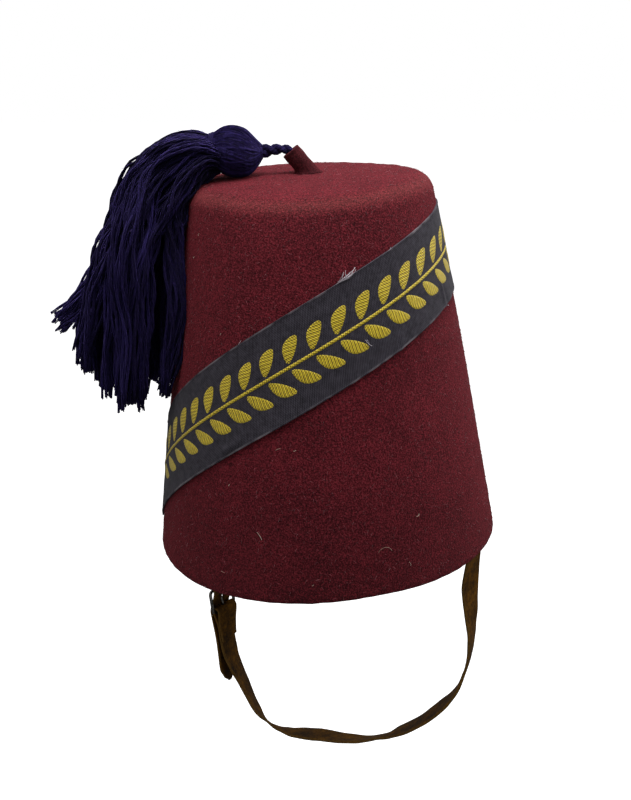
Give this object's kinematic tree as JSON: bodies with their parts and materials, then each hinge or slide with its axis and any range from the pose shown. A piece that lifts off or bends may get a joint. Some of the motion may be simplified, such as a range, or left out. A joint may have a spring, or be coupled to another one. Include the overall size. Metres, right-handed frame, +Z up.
{
  "type": "fez hat",
  "caption": "Tapered felt fez with a diagonal ribbon sash, a yarn tassel on a short cord and a buckled leather chin strap.",
  "frame": {"origin": "middle of the rim opening, in the plane of the rim", "axes": "+Z up through the crown; X along the line between the two sewn strap ends; -Y towards the wearer's front"},
  "size_m": [0.218, 0.184, 0.3713],
  "materials": {
    "felt": "pressed wool felt, maroon",
    "stalk_felt": "smooth rolled felt, brown maroon",
    "cord_yarn": "twisted yarn, dark navy",
    "yarn": "loose yarn, navy",
    "ribbon_cloth": "ribbed woven ribbon, charcoal",
    "leather": "worn brown leather",
    "steel": "dulled wire"
  },
  "bodies": {
    "root": {"crown": "felt", "stalk": "stalk_felt", "tassel_cord": "cord_yarn", "tassel": "yarn", "ribbon": "ribbon_cloth", "strap_long": "leather", "strap_billet": "leather", "buckle_frame": "steel", "buckle_prong": "steel"}
  },
  "joints": []
}
